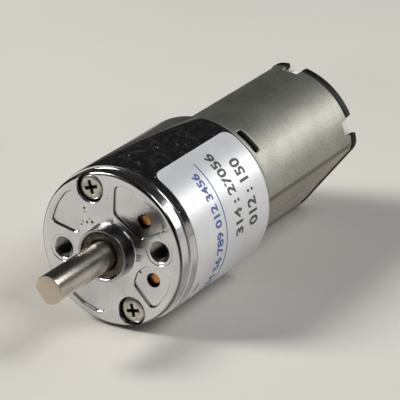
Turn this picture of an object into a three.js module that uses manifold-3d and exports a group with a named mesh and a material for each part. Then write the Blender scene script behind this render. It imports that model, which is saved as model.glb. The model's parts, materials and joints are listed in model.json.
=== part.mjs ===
// Geared dc motor: round spur gearbox on a flat-sided motor can, D-shaft output.
// Millimetres. Origin: centre of the front mounting face. +Y runs back to the motor, +Z up.
import * as THREE from 'three';
import { mergeVertices } from 'three/addons/utils/BufferGeometryUtils.js';
import Module from 'manifold-3d';

const wasm = await Module();
wasm.setup();

// driving dimensions
const boxDiameter = 25;
const plateStep = 2.5;
const plateThickness = 4;
const boxLength = 26.2;
const tubeWall = 0.8;
const bossRadius = 4.2;
const bossHeight = 2.6;
const shaftDiameter = 4.5;
const shaftReach = 17;
const shaftFlat = 1.58;
const flatAngle = 208.6;
const flatLength = 10;
const screwCircle = 9.85;
const threadPitchCircle = 17;
const threadRadius = 1.3;
const module = 0.4;
const pinionTeeth = 8;
const wheelTeeth = 22;
const canDiameter = 24.2;
const canAcross = 18.4;
const canLength = 29.8;
const canTurn = 42;
const canWall = 0.8;

// named clearances
const running = 0.04;
const slip = 0.05;
const endPlay = 0.1;
const backlash = 0.05;

// derived sizes
const boxRadius = boxDiameter / 2;
const bandRadius = boxRadius - 0.3;
const registerRadius = boxRadius - tubeWall - slip;
const rearPlateFront = boxLength - 2.8;
const pinEnd = rearPlateFront + 1.4;
const bridgeFront = plateThickness + 5.3;
const bridgeBack = bridgeFront + 1;
const gearFront = plateThickness + 1.2;
const gearBack = gearFront + 3.5;
const canEnd = boxLength + canLength;
const coreRadius = canAcross / 2 - canWall - 0.8;
const coreFront = boxLength + 6.3;
const coreBack = coreFront + 13;
const centreDistance = module * (pinionTeeth + wheelTeeth) / 2;
const shaftRadius = shaftDiameter / 2;
const bushRadius = bossRadius - 0.5;
const pinRadius = 0.75;
const motorShaftRadius = 1;
const segments = 72;

const group = new THREE.Group();
group.name = 'geared_dc_motor';

const finishes = {
  plate: [0xc9c7c4, 0.25, 1],
  chrome: [0xb9b8b6, 0.12, 1],
  label: [0xe4e2de, 0.45, 0],
  screw: [0xbab4aa, 0.3, 1],
  brass: [0xb07a3c, 0.35, 1],
  bronze: [0x6e5a42, 0.5, 1],
  steel: [0xa9a49c, 0.3, 1],
  gearSteel: [0x8f8c86, 0.4, 1],
  can: [0xb5b2a6, 0.35, 1],
  nylon: [0xe6e2d6, 0.6, 0],
  copper: [0xb4632f, 0.4, 1],
  lamination: [0x55524e, 0.6, 1],
  ferrite: [0x2b2a2a, 0.8, 0],
  carbon: [0x222222, 0.9, 0],
};

const rad = (degrees) => degrees * Math.PI / 180;
const polar = (radius, degrees) => [radius * Math.cos(rad(degrees)), radius * Math.sin(rad(degrees))];

function tidy(geometry) {
  geometry.deleteAttribute('normal');
  geometry.deleteAttribute('uv');
  return mergeVertices(geometry, 1e-4);
}

function addPart(name, geometry, finish) {
  const [color, roughness, metalness] = finishes[finish];
  const material = new THREE.MeshStandardMaterial({ color, roughness, metalness });
  material.name = finish;
  const clean = tidy(geometry.clone());
  clean.computeVertexNormals();
  const mesh = new THREE.Mesh(clean, material);
  mesh.name = name;
  group.add(mesh);
}

function solid(geometry) {
  const clean = tidy(geometry.clone());
  return new wasm.Manifold(new wasm.Mesh({
    numProp: 3,
    vertProperties: new Float32Array(clean.attributes.position.array),
    triVerts: new Uint32Array(clean.index.array),
  }));
}

function toGeometry(body) {
  const mesh = body.getMesh();
  const geometry = new THREE.BufferGeometry();
  geometry.setAttribute('position', new THREE.BufferAttribute(new Float32Array(mesh.vertProperties), 3));
  geometry.setIndex(new THREE.BufferAttribute(new Uint32Array(mesh.triVerts), 1));
  return geometry;
}

function cut(base, tools) {
  let body = solid(base);
  for (const tool of tools) {
    body = body.subtract(solid(tool));
  }
  return toGeometry(body);
}

function join(pieces) {
  let body = solid(pieces[0]);
  for (const piece of pieces.slice(1)) {
    body = body.add(solid(piece));
  }
  return toGeometry(body);
}

// turned piece about the Y axis through (x, z); the profile is a list of [radius, y]
function turned(profile, x = 0, z = 0, count = segments) {
  const points = profile.map(([radius, y]) => new THREE.Vector2(Math.max(radius, 0), y));
  const geometry = new THREE.LatheGeometry(points, count);
  const clean = tidy(geometry);
  const body = new wasm.Mesh({
    numProp: 3,
    vertProperties: new Float32Array(clean.attributes.position.array),
    triVerts: new Uint32Array(dropFlat(clean)),
  });
  const made = toGeometry(outward(new wasm.Manifold(body), clean));
  made.translate(x, 0, z);
  return made;
}

// faces whose corners have merged into one on the axis are left out
function dropFlat(geometry) {
  const index = geometry.index.array;
  const kept = [];
  for (let i = 0; i < index.length; i += 3) {
    const [a, b, c] = [index[i], index[i + 1], index[i + 2]];
    if (a !== b && b !== c && a !== c) {
      kept.push(a, b, c);
    }
  }
  return kept;
}

function outward(body, geometry) {
  if (body.volume() > 0) {
    return body;
  }
  const flipped = dropFlat(geometry).reverse();
  return new wasm.Manifold(new wasm.Mesh({
    numProp: 3,
    vertProperties: new Float32Array(geometry.attributes.position.array),
    triVerts: new Uint32Array(flipped),
  }));
}

const rod = (radius, from, to, x = 0, z = 0, count = 16) => (
  turned([[0, from], [radius, from], [radius, to], [0, to]], x, z, count)
);

const sleeve = (inner, outer, from, to, x = 0, z = 0, count = 16) => (
  turned([[inner, from], [outer, from], [outer, to], [inner, to], [inner, from]], x, z, count)
);

// flat outline in X and Z, pulled along Y
function slab(outline, from, to) {
  const shape = new THREE.Shape(outline.map(([x, z]) => new THREE.Vector2(x, -z)));
  const geometry = new THREE.ExtrudeGeometry(shape, { depth: to - from, bevelEnabled: false });
  geometry.rotateX(-Math.PI / 2);
  geometry.translate(0, from, 0);
  return geometry;
}

function ring(radius, count, x = 0, z = 0) {
  const points = [];
  for (let i = 0; i < count; i += 1) {
    const [dx, dz] = polar(radius, 360 * i / count);
    points.push([x + dx, z + dz]);
  }
  return points;
}

function box(x0, x1, y0, y1, z0, z1) {
  const geometry = new THREE.BoxGeometry(x1 - x0, y1 - y0, z1 - z0);
  geometry.translate((x0 + x1) / 2, (y0 + y1) / 2, (z0 + z1) / 2);
  return geometry;
}

// turns a piece about the Y axis, positive from +X towards +Z
function spin(geometry, degrees) {
  geometry.rotateY(-rad(degrees));
  return geometry;
}

// positions across the axis
const caseScrewAt = [polar(screwCircle, 101.3), polar(screwCircle, 281.3)];
const threadAt = [polar(threadPitchCircle / 2, 0), polar(threadPitchCircle / 2, 180)];
const dowelAt = [[6.45, 4.6], [6.45, -4.6]];
const pinAt = [polar(centreDistance, 150), polar(centreDistance, 210)];
const motorScrewAt = [[0, 6.8], [0, -6.8]];

// the fan-shaped pockets cast into the front face
const pocketOutlines = [
  [[2.4, 9.7], [1.7, 6.2], [2, 5.4], [5.2, 2.4], [5.9, 2.1], [9.2, 3.1], [9.7, 3.7], [8.2, 6.7],
    [6, 8.7], [4, 9.9]],
  [[-6.5, 8.6], [-9.4, 4.8], [-9.2, 4.2], [-5.8, 2.8], [-5.2, 2.9], [-4, 5.4], [-3.9, 6.6],
    [-4.3, 8.4], [-5, 8.9]],
  [[3.2, -5], [4.2, -3.3], [5.7, -2.5], [6.4, -2.5], [9.1, -3.5], [9.2, -4.7], [7.2, -7.6],
    [6, -8.5], [5.3, -8.4]],
  [[-1.7, -6], [-2.4, -9.1], [-3.2, -9.9], [-4.4, -9.7], [-7.6, -7.4], [-9.3, -4.4], [-9, -3.7], [-5.8, -2.6],
    [-5, -2.9], [-2.2, -5.3]],
];

function frontPlate() {
  const body = turned([
    [0, -bossHeight], [bossRadius, -bossHeight], [bossRadius, 0], [bandRadius - 0.5, 0], [bandRadius - 0.15, 0.15],
    [bandRadius, 0.5], [bandRadius, plateStep], [registerRadius, plateStep], [registerRadius, plateThickness],
    [0, plateThickness],
  ]);
  const tools = pocketOutlines.map((outline) => slab(outline, -0.5, 0.4));
  tools.push(rod(bushRadius, -5, 5, 0, 0, 36));
  for (const [x, z] of caseScrewAt) {
    tools.push(rod(2.25, -1, 2.2, x, z));
    tools.push(rod(1.02, 1, 5, x, z));
  }
  for (const [x, z] of threadAt) {
    tools.push(turned([
      [0, -1], [2.15, -1], [2.15, 0.12], [1.6, 0.12], [threadRadius, 0.45], [threadRadius, 5], [0, 5],
    ], x, z, 16));
  }
  for (const [x, z] of dowelAt) {
    tools.push(turned([[0, -1], [1.3, -1], [1.3, 0.9], [0.9, 0.9], [0.9, 5], [0, 5]], x, z, 16));
  }
  for (const [x, z] of pinAt) {
    tools.push(rod(pinRadius + running, 2, 5, x, z));
  }
  addPart('front_plate', cut(body, tools), 'plate');
}

function gearCaseTube() {
  const tube = sleeve(boxRadius - tubeWall, boxRadius, plateStep, boxLength, 0, 0, segments);
  // half a facet of turn brings its edges in line with the label's ends
  addPart('gear_case_tube', spin(tube, 180 / segments), 'chrome');
}

function ratingLabel() {
  const [start, end, thickness] = [57.5, -162.5, 0.12];
  const step = 360 / segments;
  const count = Math.round((start - end) / step);
  const edge = (radius, flip) => {
    const points = [];
    for (let i = 0; i <= count; i += 1) {
      points.push(polar(radius, flip ? end + step * i : start - step * i));
    }
    return points;
  };
  const outline = [...edge(boxRadius, false), ...edge(boxRadius + thickness, true)];
  addPart('rating_label', slab(outline, plateStep + 1.6, boxLength - 0.5), 'label');
}

function caseScrew(index) {
  const [x, z] = caseScrewAt[index];
  const screw = turned([
    [0, 0.5], [1.3, 0.55], [1.8, 0.85], [1.95, 1.3], [1.95, 2.2], [0.95, 2.2], [0.95, boxLength - 0.6],
    [0, boxLength - 0.6],
  ], x, z, 16);
  const recess = [box(-1.2, 1.2, 0.2, 1.4, -0.26, 0.26), box(-0.26, 0.26, 0.2, 1.4, -1.2, 1.2)];
  for (const slot of recess) {
    slot.translate(x, 0, z);
  }
  addPart('case_screw_' + (index + 1), cut(screw, recess), 'screw');
}

function dowelSet(index) {
  const [x, z] = dowelAt[index];
  addPart('dowel_pin_' + (index + 1), rod(0.85, 0.5, pinEnd, x, z), 'brass');
  addPart('front_spacer_' + (index + 1), sleeve(0.9, 1.6, plateThickness, bridgeFront, x, z), 'brass');
  addPart('rear_spacer_' + (index + 1), sleeve(0.9, 1.6, bridgeBack, rearPlateFront, x, z), 'brass');
}

function bearingBridge() {
  const outline = [];
  for (let i = 0; i <= 12; i += 1) {
    outline.push(polar(2.6, 108 + 12 * i));
  }
  const ear = (x, z, from, to) => {
    for (let i = 0; i <= 8; i += 1) {
      const [dx, dz] = polar(1.9, from + (to - from) * i / 8);
      outline.push([x + dx, z + dz]);
    }
  };
  ear(dowelAt[1][0], dowelAt[1][1], -108, 0);
  ear(dowelAt[0][0], dowelAt[0][1], 0, 108);
  const holes = [ring(1.3, 36), ring(0.9, 16, ...dowelAt[0]), ring(0.9, 16, ...dowelAt[1])];
  const tools = holes.map((hole) => slab(hole, bridgeFront - 1, bridgeBack + 1));
  addPart('bearing_bridge', cut(slab(outline, bridgeFront, bridgeBack), tools), 'gearSteel');
}

function outputBush() {
  const inner = shaftRadius + running;
  addPart('output_bush', turned([
    [inner + 0.3, -bossHeight + 0.3], [bushRadius - slip, -bossHeight + 0.3], [bushRadius - slip, 4.4],
    [inner, 4.4], [inner, -bossHeight + 0.6], [inner + 0.3, -bossHeight + 0.3],
  ], 0, 0, 36), 'bronze');
}

function outputShaft() {
  const body = turned([
    [0, -shaftReach], [shaftRadius - 0.25, -shaftReach], [shaftRadius, -shaftReach + 0.25], [shaftRadius, gearBack],
    [shaftRadius - 0.4, gearBack], [shaftRadius - 0.4, gearBack + 0.4], [1.25, gearBack + 0.4],
    [1.25, bridgeBack + 0.1], [0, bridgeBack + 0.1],
  ], 0, 0, 36);
  const flat = box(shaftFlat, 5, -shaftReach - 1, -shaftReach + flatLength, -4, 4);
  addPart('output_shaft', cut(body, [spin(flat, flatAngle)]), 'steel');
}

// involute gear outline with its first tooth at the given angle
function gearOutline(teeth, shift, tip, root, first) {
  const pitch = module * teeth / 2;
  const pressure = rad(20);
  const base = pitch * Math.cos(pressure);
  const inv = (angle) => Math.tan(angle) - angle;
  const half = Math.PI / (2 * teeth) + 2 * shift * Math.tan(pressure) / teeth - backlash / (2 * pitch);
  const halfAt = (radius) => half + inv(pressure) - inv(Math.acos(Math.min(1, base / radius)));
  const start = Math.max(base, root);
  const flank = [0, 0.5, 1].map((t) => start + (tip - start) * t);
  const points = [];
  for (let i = 0; i < teeth; i += 1) {
    const centre = rad(first) + 2 * Math.PI * i / teeth;
    const above = flank.filter((radius) => radius > root + 0.02);
    const side = [[root, halfAt(start)], ...above.map((radius) => [radius, halfAt(radius)])];
    for (const [radius, angle] of side) {
      points.push([radius * Math.cos(centre - angle), radius * Math.sin(centre - angle)]);
    }
    for (const [radius, angle] of side.slice().reverse()) {
      points.push([radius * Math.cos(centre + angle), radius * Math.sin(centre + angle)]);
    }
  }
  return points;
}

const shift = 0.5;
const addendum = 0.8;
const tipClear = 0.1;
const pinionTip = module * (pinionTeeth / 2 + addendum + shift);
const wheelTip = module * (wheelTeeth / 2 + addendum - shift);
const pinionRoot = centreDistance - wheelTip - tipClear;
const wheelRoot = centreDistance - pinionTip - tipClear;

const pinionShape = (first) => gearOutline(pinionTeeth, shift, pinionTip, pinionRoot, first);
const wheelShape = (first) => gearOutline(wheelTeeth, -shift, wheelTip, wheelRoot, first);

function outputGear() {
  const wheel = slab(wheelShape(150), gearFront, gearBack);
  addPart('output_gear', cut(wheel, [rod(shaftRadius, gearFront - 1, gearBack + 1, 0, 0, 36)]), 'gearSteel');
  const washer = sleeve(shaftRadius + running, 3.4, gearFront - 0.7, gearFront - endPlay, 0, 0, 36);
  addPart('thrust_washer', washer, 'brass');
  const gap = box(0, 6, gearBack - 1, gearBack + 1, -1, 1);
  const clip = sleeve(shaftRadius - 0.4 + 0.02, 3.1, gearBack, gearBack + 0.4, 0, 0, 36);
  addPart('retaining_ring', cut(clip, [gap]), 'steel');
}

// one wheel and one pinion on a common hub, loose on its pin
function compoundGear(index, pin, wheelFirst, wheelSpan, pinionFirst, pinionSpan) {
  const [x, z] = pinAt[pin];
  const wheel = slab(wheelShape(wheelFirst), wheelSpan[0], wheelSpan[1]);
  const pinion = slab(pinionShape(pinionFirst), pinionSpan[0], pinionSpan[1]);
  const bore = rod(pinRadius + running, 0, boxLength);
  const geometry = cut(join([wheel, pinion]), [bore]);
  geometry.translate(x, 0, z);
  addPart('compound_gear_' + index, geometry, 'gearSteel');
}

function gearTrain() {
  const back = rearPlateFront;
  compoundGear(1, 0, 330, [back - 3.8, back - 1.8], 292.5, [back - 8.1, back - 3.7]);
  compoundGear(2, 1, 90, [back - 7, back - 4.6], 112.5, [back - 11.4, back - 6.9]);
  compoundGear(3, 0, 270, [back - 10.8, back - 8.2], 352.5, [plateThickness + 0.4, back - 10.7]);
  for (let i = 0; i < 2; i += 1) {
    addPart('gear_pin_' + (i + 1), rod(pinRadius, 2, pinEnd, ...pinAt[i]), 'steel');
  }
  const inner = pinRadius + running;
  addPart('pin_washer', sleeve(inner, 1.3, plateThickness, plateThickness + 0.3, ...pinAt[0]), 'brass');
  addPart('pin_sleeve_1', sleeve(inner, 1.25, back - 1.7, back, ...pinAt[0]), 'brass');
  addPart('pin_sleeve_2', sleeve(inner, 1.25, plateThickness, back - 11.5, ...pinAt[1]), 'brass');
  addPart('pin_sleeve_3', sleeve(inner, 1.25, back - 4.5, back, ...pinAt[1]), 'brass');
}

function rearPlate() {
  const body = turned([
    [0, rearPlateFront], [registerRadius, rearPlateFront], [registerRadius, boxLength], [0, boxLength],
  ]);
  const from = rearPlateFront - 2;
  const tools = [rod(3.1, from, boxLength + 2, 0, 0, 36)];
  for (const [x, z] of caseScrewAt) {
    tools.push(rod(1, from, boxLength + 2, x, z));
  }
  for (const [x, z] of dowelAt) {
    tools.push(rod(0.9, from, pinEnd, x, z));
  }
  for (const [x, z] of pinAt) {
    tools.push(rod(pinRadius + running, from, pinEnd, x, z));
  }
  for (const [x, z] of motorScrewAt) {
    tools.push(turned([
      [0, from], [1.95, from], [1.95, from + 2], [1.05, from + 2.9], [1.05, boxLength + 2], [0, boxLength + 2],
    ], x, z, 16));
  }
  addPart('rear_plate', cut(body, tools), 'plate');
}

function motorScrew(index) {
  const [x, z] = motorScrewAt[index];
  const screw = turned([
    [0, rearPlateFront], [1.85, rearPlateFront], [0.95, rearPlateFront + 0.9], [0.95, boxLength + 1.6],
    [0, boxLength + 1.6],
  ], x, z, 16);
  const slot = box(-1.2, 1.2, rearPlateFront - 0.4, rearPlateFront + 0.4, -0.2, 0.2);
  slot.translate(x, 0, z);
  addPart('motor_screw_' + (index + 1), cut(screw, [slot]), 'screw');
}

// the can's outline: two arcs joined by two flats, drawn inwards by an inset
function canOutline(inset, count = 10) {
  const radius = canDiameter / 2 - inset;
  const across = canAcross / 2 - inset;
  const half = Math.asin(across / radius) * 180 / Math.PI;
  const soft = 6;
  const points = [];
  // a corner is a short curve from the arc to the flat
  const corner = (from, to, at) => {
    for (const t of [1 / 3, 2 / 3]) {
      const mix = (k) => from[k] * (1 - t) ** 2 + at[k] * 2 * t * (1 - t) + to[k] * t ** 2;
      points.push([mix(0), mix(1)]);
    }
  };
  for (const middle of [0, 180]) {
    for (let i = 0; i <= count; i += 1) {
      points.push(polar(radius, middle - half + soft + 2 * (half - soft) * i / count));
    }
    const [x, z] = polar(radius, middle + half);
    const flat = x - Math.sign(x) * rad(soft) * radius;
    corner(points[points.length - 1], [flat, z], [x, z]);
    for (let i = 0; i <= 6; i += 1) {
      points.push([flat * (1 - i / 3), z]);
    }
    corner([-flat, z], polar(radius, middle + 180 - half + soft), [-x, z]);
  }
  return points;
}

// joins outlines of equal point count into a closed skin; the last one meets the first
function loft(levels) {
  const count = levels[0].outline.length;
  const positions = [];
  const index = [];
  for (const { outline, y } of levels) {
    for (const [x, z] of outline) {
      positions.push(x, y, z);
    }
  }
  for (let level = 0; level < levels.length; level += 1) {
    const next = (level + 1) % levels.length;
    for (let i = 0; i < count; i += 1) {
      const j = (i + 1) % count;
      const [a, b, c, d] = [level * count + i, level * count + j, next * count + j, next * count + i];
      index.push(a, b, c, a, c, d);
    }
  }
  const geometry = new THREE.BufferGeometry();
  geometry.setAttribute('position', new THREE.BufferAttribute(new Float32Array(positions), 3));
  geometry.setIndex(index);
  return toGeometry(outward(new wasm.Manifold(new wasm.Mesh({
    numProp: 3,
    vertProperties: new Float32Array(positions),
    triVerts: new Uint32Array(index),
  })), geometry));
}

function circleLike(radius, count = 10) {
  return canOutline(0, count).map(([x, z]) => {
    const angle = Math.atan2(z, x);
    return [radius * Math.cos(angle), radius * Math.sin(angle)];
  });
}

function motorCan() {
  const front = boxLength;
  const shell = loft([
    { outline: canOutline(0), y: canEnd },
    { outline: canOutline(0), y: front + 1 },
    { outline: canOutline(0.3), y: front + 0.3 },
    { outline: canOutline(1), y: front },
    { outline: circleLike(3), y: front },
    { outline: circleLike(3), y: front - 1.6 },
    { outline: circleLike(2.25), y: front - 1.6 },
    { outline: circleLike(2.25), y: front + canWall },
    { outline: canOutline(1.4), y: front + canWall },
    { outline: canOutline(canWall), y: front + 1.4 },
    { outline: canOutline(canWall), y: canEnd },
  ]);
  const tools = [];
  for (const side of [0, 180]) {
    tools.push(spin(slab([[8, -2.2], [14, -2.2], [14, 2.2], [8, 2.2]], front + 1.3, front + 2.8), side));
    for (const middle of [-32.5, 32.5]) {
      const [a, b] = [polar(9, middle - 6.8), polar(14, middle - 6.8)];
      const [c, d] = [polar(14, middle + 6.8), polar(9, middle + 6.8)];
      tools.push(spin(slab([a, b, c, d], canEnd - 3.3, canEnd + 1), side));
    }
  }
  for (const [x, z] of motorScrewAt) {
    const [turnCos, turnSin] = [Math.cos(rad(canTurn)), Math.sin(rad(canTurn))];
    const [px, pz] = [x * turnCos + z * turnSin, z * turnCos - x * turnSin];
    tools.push(rod(1, boxLength - 1, boxLength + 2, px, pz));
  }
  addPart('motor_can', spin(cut(shell, tools), canTurn), 'can');
}

function endCap() {
  const fit = canWall + 0.1;
  const body = slab(canOutline(fit), canEnd - 3, canEnd - 0.4);
  const boss = turned([
    [0, canEnd - 3], [3.6, canEnd - 3], [3.6, canEnd + 1.3], [3.3, canEnd + 1.6], [0, canEnd + 1.6],
  ], 0, 0, 36);
  const tools = [
    turned([
      [0, canEnd - 4], [2.05, canEnd - 4], [2.05, canEnd + 1],
      [1.3, canEnd + 1], [1.3, canEnd + 3], [0, canEnd + 3],
    ], 0, 0, 36),
  ];
  for (const side of [-1, 1]) {
    tools.push(box(side * 7.5 - 0.25, side * 7.5 + 0.25, canEnd - 4, canEnd + 1, -1.05, 1.05));
  }
  addPart('end_cap', spin(cut(join([body, boss]), tools), canTurn), 'nylon');
}

function brushGear(side, index) {
  const face = canEnd - 3;
  const at = (x) => side * x;
  const span = (a, b) => [Math.min(at(a), at(b)), Math.max(at(a), at(b))];
  const terminal = cut(box(...span(7.3, 7.7), face, canEnd + 4.4, -1, 1), [
    box(...span(7, 8), canEnd + 2.2, canEnd + 3.4, -0.5, 0.5),
  ]);
  addPart('terminal_' + index, spin(terminal, canTurn), 'brass');
  const arm = join([
    box(...span(3.6, 3.85), face - 3.4, face, -1, 1),
    box(...span(3.6, 7.7), face - 0.25, face, -1, 1),
  ]);
  addPart('brush_arm_' + index, spin(arm, canTurn), 'copper');
  const block = box(...span(2.4, 3.6), face - 3.4, face - 1.4, -0.8, 0.8);
  addPart('brush_' + index, spin(block, canTurn), 'carbon');
}

function fieldParts() {
  const inside = canAcross / 2 - canWall;
  const reach = Math.asin(inside / (canDiameter / 2 - canWall)) * 180 / Math.PI - 12;
  for (let i = 0; i < 2; i += 1) {
    const outline = [];
    for (let k = 0; k <= 10; k += 1) {
      outline.push(polar(canDiameter / 2 - canWall - 0.1, reach * (k / 5 - 1)));
    }
    for (let k = 0; k <= 10; k += 1) {
      outline.push(polar(coreRadius + 0.6, reach * (1 - k / 5)));
    }
    const magnet = slab(outline, coreFront - 1.5, coreBack + 1.5);
    addPart('magnet_' + (i + 1), spin(magnet, canTurn + 180 * i), 'ferrite');
    const strip = box(-4.5, 4.5, coreFront + 0.5, coreBack - 0.5, inside - 0.45, inside - slip);
    addPart('magnet_clip_' + (i + 1), spin(strip, canTurn + 180 * i), 'steel');
  }
}

function motorPinion() {
  const back = rearPlateFront;
  const gear = slab(pinionShape(172.5), back - 4.2, back - 0.6);
  addPart('motor_pinion', cut(gear, [rod(motorShaftRadius, back - 6, back)]), 'brass');
}

function rotor() {
  addPart('motor_shaft', rod(motorShaftRadius, rearPlateFront - 4.4, canEnd + 2.2), 'steel');
  const hole = motorShaftRadius + running;
  addPart('nose_bearing', sleeve(hole, 2.2, boxLength - 1.5, boxLength + 1.8, 0, 0, 24), 'bronze');
  addPart('tail_bearing', sleeve(hole, 2, canEnd - 2, canEnd + 0.9, 0, 0, 36), 'bronze');
  addPart('rotor_spacer', sleeve(motorShaftRadius, 1.9, boxLength + 1.9, coreFront), 'nylon');
  const [shoe, half] = [coreRadius - 1.3, coreRadius * 0.38];
  const coilOut = Math.sqrt(shoe ** 2 - half ** 2) - 0.18;
  const core = [rod(3, coreFront, coreBack, 0, 0, 36)];
  for (let i = 0; i < 3; i += 1) {
    core.push(spin(box(2, coreRadius - 0.6, coreFront, coreBack, -1.2, 1.2), 120 * i));
    const outline = [];
    for (let k = 0; k <= 8; k += 1) {
      outline.push(polar(coreRadius, -44 + 11 * k));
    }
    for (let k = 0; k <= 8; k += 1) {
      outline.push(polar(shoe, 44 - 11 * k));
    }
    core.push(spin(slab(outline, coreFront, coreBack), 120 * i));
    const coil = cut(box(3.2, coilOut, coreFront - 1.8, coreBack + 1.8, -half, half), [
      box(3, 6, coreFront - 0.1, coreBack + 0.1, -1.3, 1.3),
    ]);
    addPart('winding_' + (i + 1), spin(coil, 120 * i), 'copper');
  }
  const stack = cut(join(core), [rod(motorShaftRadius, coreFront - 2, coreBack + 2)]);
  addPart('armature_core', stack, 'lamination');
  addPart('commutator', sleeve(motorShaftRadius, 2.3, coreBack, canEnd - 3.4), 'copper');
}

frontPlate();
gearCaseTube();
ratingLabel();
for (let i = 0; i < 2; i += 1) {
  caseScrew(i);
  dowelSet(i);
}
bearingBridge();
outputBush();
outputShaft();
outputGear();
gearTrain();
rearPlate();
for (let i = 0; i < 2; i += 1) {
  motorScrew(i);
}
motorCan();
endCap();
brushGear(1, 1);
brushGear(-1, 2);
fieldParts();
motorPinion();
rotor();

export default group;
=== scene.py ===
import json
import math
import bpy
from mathutils import Matrix, Vector


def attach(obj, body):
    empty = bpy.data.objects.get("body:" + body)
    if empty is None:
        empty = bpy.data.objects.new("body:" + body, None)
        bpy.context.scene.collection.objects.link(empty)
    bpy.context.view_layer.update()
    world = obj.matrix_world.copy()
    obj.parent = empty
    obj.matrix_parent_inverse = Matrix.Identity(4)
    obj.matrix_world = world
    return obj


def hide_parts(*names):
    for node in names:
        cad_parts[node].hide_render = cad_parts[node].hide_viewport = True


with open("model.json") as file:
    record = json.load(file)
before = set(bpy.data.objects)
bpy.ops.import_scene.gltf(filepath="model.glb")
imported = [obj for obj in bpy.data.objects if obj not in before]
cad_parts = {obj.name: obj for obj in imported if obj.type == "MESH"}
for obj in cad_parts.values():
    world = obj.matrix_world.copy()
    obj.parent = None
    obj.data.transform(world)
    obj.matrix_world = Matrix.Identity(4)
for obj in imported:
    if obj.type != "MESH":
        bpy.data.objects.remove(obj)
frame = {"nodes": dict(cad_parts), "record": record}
mm = 0.001
turn = 2 * math.pi
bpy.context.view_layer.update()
print("frame loaded,", len(frame["nodes"]), "nodes")


# small helpers for modelling

def deselectAll():
    if bpy.context.mode != "OBJECT":
        bpy.ops.object.mode_set(mode="OBJECT")
    bpy.ops.object.select_all(action="DESELECT")


def pick(piece):
    deselectAll()
    piece.select_set(True)
    bpy.context.view_layer.objects.active = piece


def polar(radius, degrees):
    a = math.radians(degrees)
    return radius * math.cos(a), radius * math.sin(a)


def placeInMesh(piece):
    pick(piece)
    bpy.ops.object.transform_apply(location=True, rotation=True, scale=True)


def editAll(piece):
    pick(piece)
    bpy.ops.object.mode_set(mode="EDIT")
    bpy.ops.mesh.select_all(action="SELECT")


def leaveEdit():
    bpy.ops.object.mode_set(mode="OBJECT")


def cleanMesh(piece, gap=1e-6):
    editAll(piece)
    bpy.ops.mesh.remove_doubles(threshold=gap)
    bpy.ops.mesh.dissolve_degenerate(threshold=1e-7)
    bpy.ops.mesh.select_all(action="SELECT")
    bpy.ops.mesh.normals_make_consistent(inside=False)
    leaveEdit()


def loopPiece(name, points, fill="NOTHING"):
    deselectAll()
    bpy.ops.mesh.primitive_circle_add(vertices=len(points), radius=mm, fill_type=fill)
    piece = bpy.context.active_object
    piece.name = name
    for vertex, place in zip(piece.data.vertices, points):
        vertex.co = Vector(place) * mm
    return piece


def spunPiece(name, profile, steps=96, at=(0, 0), smooth=40):
    # a closed profile of (radius, y) is spun round the axis through at
    piece = loopPiece(name, [(at[0] + r, y, at[1]) for r, y in profile])
    editAll(piece)
    bpy.ops.mesh.spin(steps=steps, angle=turn, center=(at[0] * mm, 0, at[1] * mm), axis=(0, 1, 0))
    leaveEdit()
    cleanMesh(piece)
    smoothEdges(piece, smooth)
    return piece


def smoothEdges(piece, degrees=40):
    pick(piece)
    bpy.ops.object.shade_smooth_by_angle(angle=math.radians(degrees))


def slabPiece(name, outline, *levels):
    # flat outline of (x, z) pulled through the levels along Y
    piece = loopPiece(name, [(x, levels[0], z) for x, z in outline], "NGON")
    editAll(piece)
    for low, high in zip(levels, levels[1:]):
        bpy.ops.mesh.extrude_region_move(TRANSFORM_OT_translate={"value": (0, (high - low) * mm, 0)})
    bpy.ops.mesh.select_all(action="SELECT")
    bpy.ops.mesh.normals_make_consistent(inside=False)
    leaveEdit()
    return piece


def flaredSlab(name, outline, profile):
    # profile lists (y, how far the outline is moved outward there)
    count = len(outline)
    area = sum(outline[i - 1][0] * outline[i][1] - outline[i][0] * outline[i - 1][1] for i in range(count))
    outward = []
    for i in range(count):
        along = Vector(outline[(i + 1) % count]) - Vector(outline[i - 1])
        outward.append(Vector((along.y, -along.x)).normalized() * math.copysign(1, area))
    piece = slabPiece(name, outline, *[y for y, move in profile])
    places = [Vector(point) for point in outline]
    for vertex in piece.data.vertices:
        here = Vector((vertex.co.x, vertex.co.z)) / mm
        i = min(range(count), key=lambda k: (places[k] - here).length)
        move = min(profile, key=lambda row: abs(row[0] - vertex.co.y / mm))[1]
        vertex.co.x += outward[i].x * move * mm
        vertex.co.z += outward[i].y * move * mm
    return piece


def blockPiece(name, low, high):
    deselectAll()
    bpy.ops.mesh.primitive_cube_add(size=1)
    piece = bpy.context.active_object
    piece.name = name
    for vertex in piece.data.vertices:
        vertex.co = Vector([(a if c < 0 else b) * mm for a, b, c in zip(low, high, vertex.co)])
    return piece


def spinPiece(piece, degrees):
    # positive turns +X towards +Z
    piece.data.transform(Matrix.Rotation(-math.radians(degrees), 4, "Y"))
    return piece


def applied(piece, kind, **settings):
    pick(piece)
    modifier = piece.modifiers.new(kind.lower(), kind)
    for key, value in settings.items():
        setattr(modifier, key, value)
    bpy.ops.object.modifier_apply(modifier=modifier.name)
    return piece


def cutWith(piece, cutters, operation="DIFFERENCE"):
    for cutter in cutters:
        applied(piece, "BOOLEAN", object=cutter, operation=operation, solver="EXACT")
        bpy.data.objects.remove(cutter)
    return piece


def bevelled(piece, width, segments=2, degrees=32, clamp=True):
    applied(piece, "BEVEL", width=width * mm, segments=segments, limit_method="ANGLE",
            angle_limit=math.radians(degrees), use_clamp_overlap=clamp, harden_normals=False)
    return piece


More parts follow.
